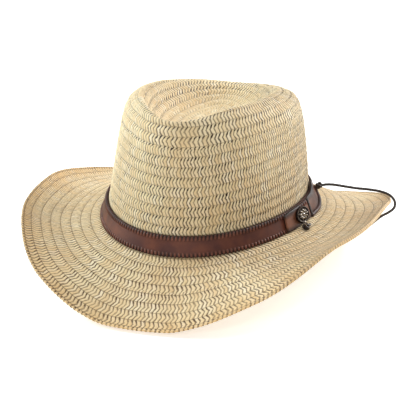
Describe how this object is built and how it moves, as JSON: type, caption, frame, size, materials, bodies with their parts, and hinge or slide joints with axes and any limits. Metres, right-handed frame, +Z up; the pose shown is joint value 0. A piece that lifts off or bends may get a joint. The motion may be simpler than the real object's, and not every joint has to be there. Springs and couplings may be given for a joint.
{
  "type": "outback hat",
  "caption": "Sewn straw-braid outback hat with curled brim and dented crown, stitched brown leather band, side tab with silver concho, and a long thin chin cord",
  "frame": {"origin": "on the floor, in the middle of the hat's outline without its cord", "axes": "+X to the wearer's left, +Y to the back of the hat, +Z up"},
  "size_m": [0.2813, 0.3821, 0.1345],
  "materials": {
    "straw_braid": "coarse zigzag paper-straw braid sewn in overlapping rows, cream to tan, matte",
    "brown_leather": "red-brown waxed leather, whip-stitched dark along both edges",
    "antique_silver": "cast silver-coloured metal, darkened in its hollows",
    "dark_cord": "near-black round waxed cord, slightly glossy"
  },
  "bodies": {
    "root": {"straw_body": "straw_braid", "hat_band": "brown_leather", "side_tab": "brown_leather", "concho": "antique_silver", "left_knot": "dark_cord", "end_knot": "dark_cord", "right_knot": "dark_cord", "chin_cord": "dark_cord"}
  },
  "joints": []
}
